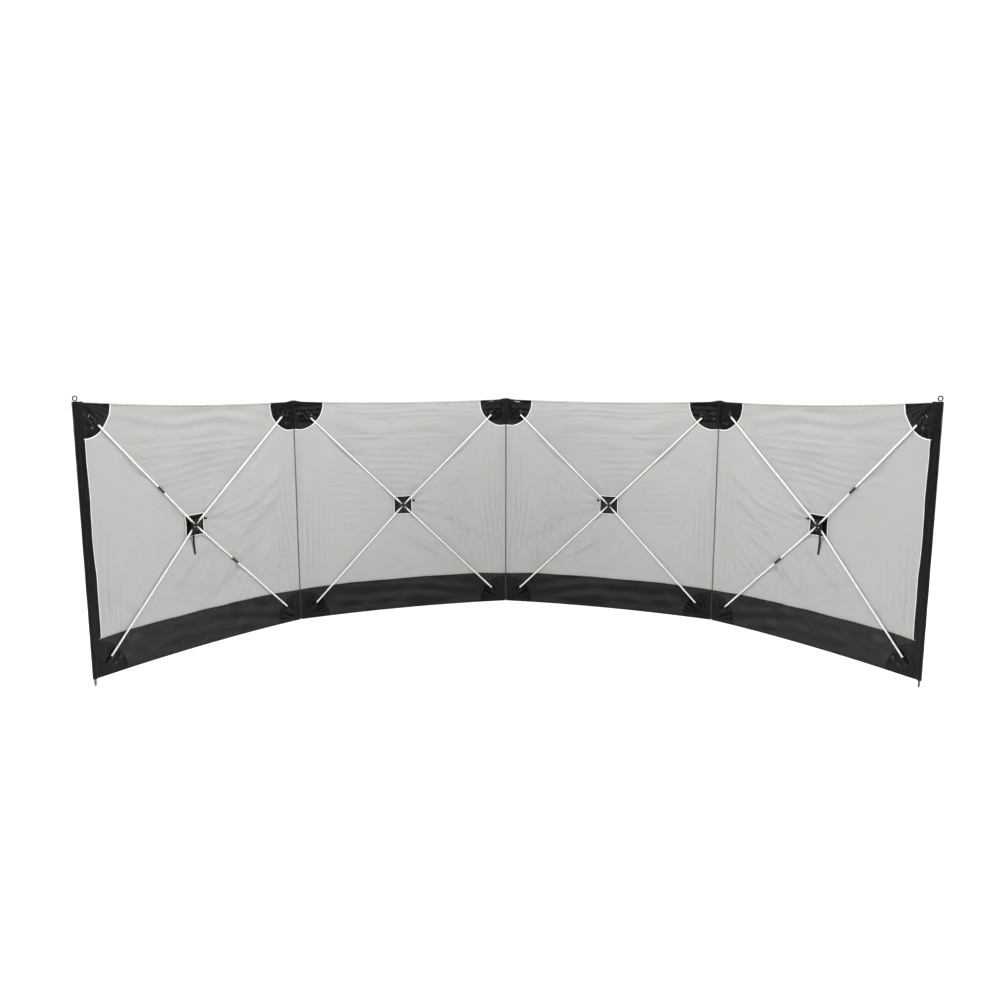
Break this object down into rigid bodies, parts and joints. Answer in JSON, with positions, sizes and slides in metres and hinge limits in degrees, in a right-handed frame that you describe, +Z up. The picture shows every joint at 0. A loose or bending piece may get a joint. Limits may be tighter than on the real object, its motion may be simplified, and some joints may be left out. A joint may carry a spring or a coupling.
{
  "type": "beach windbreak",
  "caption": "Pop-up beach windbreak standing in an arc: dished cloth bays with hubs and crossed rods, a dark skirt, corner patches and a spiked steel pole at each end.",
  "frame": {"origin": "on the ground, under the middle of the box around the arc", "axes": "+X from the left end of the arc to the right, as seen from its hollow side; +Y from the hollow side, where people sit, to the outside; +Z up"},
  "size_m": [4.1944, 1.6444, 1.4671],
  "materials": {
    "cloth": "light grey coated polyester, satin",
    "skirt": "black coated polyester, slightly shiny",
    "patch": "black coated cloth, shiny, pleated",
    "hub": "black moulded nylon",
    "rod": "pale grey fibreglass rod",
    "seam": "dark binding tape",
    "sleeve": "black coated polyester sleeve",
    "steel": "zinc-plated steel tube",
    "cord": "black braided cord",
    "webbing": "black polyester webbing"
  },
  "bodies": {
    "bay_1": {"cloth_1": "cloth", "skirt_1": "skirt", "corner_patches_1": "patch", "sleeve_left": "sleeve", "end_pole_left": "steel", "guy_loop_left": "cord"},
    "hub_1": {"hub_1": "hub", "hub_patch_1": "patch", "pull_strap_left": "webbing"},
    "rod_1_bottom_left": {"rod_1_bottom_left": "rod"},
    "rod_1_bottom_right": {"rod_1_bottom_right": "rod"},
    "rod_1_top_right": {"rod_1_top_right": "rod"},
    "rod_1_top_left": {"rod_1_top_left": "rod"},
    "bay_2": {"cloth_2": "cloth", "skirt_2": "skirt", "corner_patches_2": "patch", "seam_cord_1": "seam", "seam_cord_2": "seam"},
    "hub_2": {"hub_2": "hub", "hub_patch_2": "patch"},
    "rod_2_bottom_left": {"rod_2_bottom_left": "rod"},
    "rod_2_bottom_right": {"rod_2_bottom_right": "rod"},
    "rod_2_top_right": {"rod_2_top_right": "rod"},
    "rod_2_top_left": {"rod_2_top_left": "rod"},
    "bay_3": {"cloth_3": "cloth", "skirt_3": "skirt", "corner_patches_3": "patch", "seam_cord_3": "seam"},
    "hub_3": {"hub_3": "hub", "hub_patch_3": "patch"},
    "rod_3_bottom_left": {"rod_3_bottom_left": "rod"},
    "rod_3_bottom_right": {"rod_3_bottom_right": "rod"},
    "rod_3_top_right": {"rod_3_top_right": "rod"},
    "rod_3_top_left": {"rod_3_top_left": "rod"},
    "bay_4": {"cloth_4": "cloth", "skirt_4": "skirt", "corner_patches_4": "patch", "sleeve_right": "sleeve", "end_pole_right": "steel", "guy_loop_right": "cord"},
    "hub_4": {"hub_4": "hub", "hub_patch_4": "patch", "pull_strap_right": "webbing"},
    "rod_4_bottom_left": {"rod_4_bottom_left": "rod"},
    "rod_4_bottom_right": {"rod_4_bottom_right": "rod"},
    "rod_4_top_right": {"rod_4_top_right": "rod"},
    "rod_4_top_left": {"rod_4_top_left": "rod"}
  },
  "joints": [
    {"name": "seam_1_fold", "type": "hinge", "parent": "bay_2", "child": "bay_1", "pos_m": [-1.32373, 0.36292, 0], "axis": [0, 0, 1], "range_deg": [-193, 122]},
    {"name": "seam_2_fold", "type": "hinge", "parent": "bay_2", "child": "bay_3", "pos_m": [0, 0.81872, 0], "axis": [0, 0, 1], "range_deg": [-100, 193]},
    {"name": "seam_3_fold", "type": "hinge", "parent": "bay_3", "child": "bay_4", "pos_m": [1.32373, 0.36292, 0], "axis": [0, 0, -1], "range_deg": [-193, 122]},
    {"name": "hub_1_pull", "type": "slide", "parent": "bay_1", "child": "hub_1", "axis": [-0.8387, 0.5446, 0], "range_m": [-0.073, 0]},
    {"name": "rod_1_bottom_left_swing", "type": "hinge", "parent": "hub_1", "child": "rod_1_bottom_left", "pos_m": [-1.77557, -0.19883, 0.70328], "axis": [0.3795, 0.5844, -0.7173], "range_deg": [0, 5.06]},
    {"name": "rod_1_bottom_right_swing", "type": "hinge", "parent": "hub_1", "child": "rod_1_bottom_right", "pos_m": [-1.75709, -0.17036, 0.70279], "axis": [0.3905, 0.6013, 0.6971], "range_deg": [0, 5.06]},
    {"name": "rod_1_top_right_swing", "type": "hinge", "parent": "hub_1", "child": "rod_1_top_right", "pos_m": [-1.75682, -0.16995, 0.73672], "axis": [-0.3795, -0.5844, 0.7173], "range_deg": [0, 5.06]},
    {"name": "rod_1_top_left_swing", "type": "hinge", "parent": "hub_1", "child": "rod_1_top_left", "pos_m": [-1.77531, -0.19842, 0.73721], "axis": [-0.3905, -0.6013, -0.6971], "range_deg": [0, 5.06]},
    {"name": "hub_2_pull", "type": "slide", "parent": "bay_2", "child": "hub_2", "axis": [-0.3256, 0.9455, 0], "range_m": [-0.073, 0]},
    {"name": "rod_2_bottom_left_swing", "type": "hinge", "parent": "hub_2", "child": "rod_2_bottom_left", "pos_m": [-0.70168, 0.65432, 0.68303], "axis": [0.6686, 0.2302, -0.7071], "range_deg": [0, 5.06]},
    {"name": "rod_2_bottom_right_swing", "type": "hinge", "parent": "hub_2", "child": "rod_2_bottom_right", "pos_m": [-0.66958, 0.66537, 0.68303], "axis": [0.6686, 0.2302, 0.7071], "range_deg": [0, 5.06]},
    {"name": "rod_2_top_right_swing", "type": "hinge", "parent": "hub_2", "child": "rod_2_top_right", "pos_m": [-0.66958, 0.66537, 0.71697], "axis": [-0.6686, -0.2302, 0.7071], "range_deg": [0, 5.06]},
    {"name": "rod_2_top_left_swing", "type": "hinge", "parent": "hub_2", "child": "rod_2_top_left", "pos_m": [-0.70168, 0.65432, 0.71697], "axis": [-0.6686, -0.2302, -0.7071], "range_deg": [0, 5.06]},
    {"name": "hub_3_pull", "type": "slide", "parent": "bay_3", "child": "hub_3", "axis": [0.3256, 0.9455, 0], "range_m": [-0.073, 0]},
    {"name": "rod_3_bottom_left_swing", "type": "hinge", "parent": "hub_3", "child": "rod_3_bottom_left", "pos_m": [0.66958, 0.66537, 0.68303], "axis": [0.6686, -0.2302, -0.7071], "range_deg": [0, 5.06]},
    {"name": "rod_3_bottom_right_swing", "type": "hinge", "parent": "hub_3", "child": "rod_3_bottom_right", "pos_m": [0.70168, 0.65432, 0.68303], "axis": [0.6686, -0.2302, 0.7071], "range_deg": [0, 5.06]},
    {"name": "rod_3_top_right_swing", "type": "hinge", "parent": "hub_3", "child": "rod_3_top_right", "pos_m": [0.70168, 0.65432, 0.71697], "axis": [-0.6686, 0.2302, 0.7071], "range_deg": [0, 5.06]},
    {"name": "rod_3_top_left_swing", "type": "hinge", "parent": "hub_3", "child": "rod_3_top_left", "pos_m": [0.66958, 0.66537, 0.71697], "axis": [-0.6686, 0.2302, -0.7071], "range_deg": [0, 5.06]},
    {"name": "hub_4_pull", "type": "slide", "parent": "bay_4", "child": "hub_4", "axis": [0.8387, 0.5446, 0], "range_m": [-0.073, 0]},
    {"name": "rod_4_bottom_left_swing", "type": "hinge", "parent": "hub_4", "child": "rod_4_bottom_left", "pos_m": [1.75709, -0.17036, 0.70279], "axis": [0.3905, -0.6013, -0.6971], "range_deg": [0, 5.06]},
    {"name": "rod_4_bottom_right_swing", "type": "hinge", "parent": "hub_4", "child": "rod_4_bottom_right", "pos_m": [1.77557, -0.19883, 0.70328], "axis": [0.3795, -0.5844, 0.7173], "range_deg": [0, 5.06]},
    {"name": "rod_4_top_right_swing", "type": "hinge", "parent": "hub_4", "child": "rod_4_top_right", "pos_m": [1.77531, -0.19842, 0.73721], "axis": [-0.3905, 0.6013, 0.6971], "range_deg": [0, 5.06]},
    {"name": "rod_4_top_left_swing", "type": "hinge", "parent": "hub_4", "child": "rod_4_top_left", "pos_m": [1.75682, -0.16995, 0.73672], "axis": [-0.3795, 0.5844, -0.7173], "range_deg": [0, 5.06]}
  ],
  "couplings": [
    {"joint": "rod_1_bottom_left_swing", "follows": "hub_1_pull", "rad_per_m": -1.2076},
    {"joint": "rod_1_bottom_right_swing", "follows": "hub_1_pull", "rad_per_m": -1.2076},
    {"joint": "rod_1_top_right_swing", "follows": "hub_1_pull", "rad_per_m": -1.2076},
    {"joint": "rod_1_top_left_swing", "follows": "hub_1_pull", "rad_per_m": -1.2076},
    {"joint": "rod_2_bottom_left_swing", "follows": "hub_2_pull", "rad_per_m": -1.2076},
    {"joint": "rod_2_bottom_right_swing", "follows": "hub_2_pull", "rad_per_m": -1.2076},
    {"joint": "rod_2_top_right_swing", "follows": "hub_2_pull", "rad_per_m": -1.2076},
    {"joint": "rod_2_top_left_swing", "follows": "hub_2_pull", "rad_per_m": -1.2076},
    {"joint": "rod_3_bottom_left_swing", "follows": "hub_3_pull", "rad_per_m": -1.2076},
    {"joint": "rod_3_bottom_right_swing", "follows": "hub_3_pull", "rad_per_m": -1.2076},
    {"joint": "rod_3_top_right_swing", "follows": "hub_3_pull", "rad_per_m": -1.2076},
    {"joint": "rod_3_top_left_swing", "follows": "hub_3_pull", "rad_per_m": -1.2076},
    {"joint": "rod_4_bottom_left_swing", "follows": "hub_4_pull", "rad_per_m": -1.2076},
    {"joint": "rod_4_bottom_right_swing", "follows": "hub_4_pull", "rad_per_m": -1.2076},
    {"joint": "rod_4_top_right_swing", "follows": "hub_4_pull", "rad_per_m": -1.2076},
    {"joint": "rod_4_top_left_swing", "follows": "hub_4_pull", "rad_per_m": -1.2076}
  ]
}
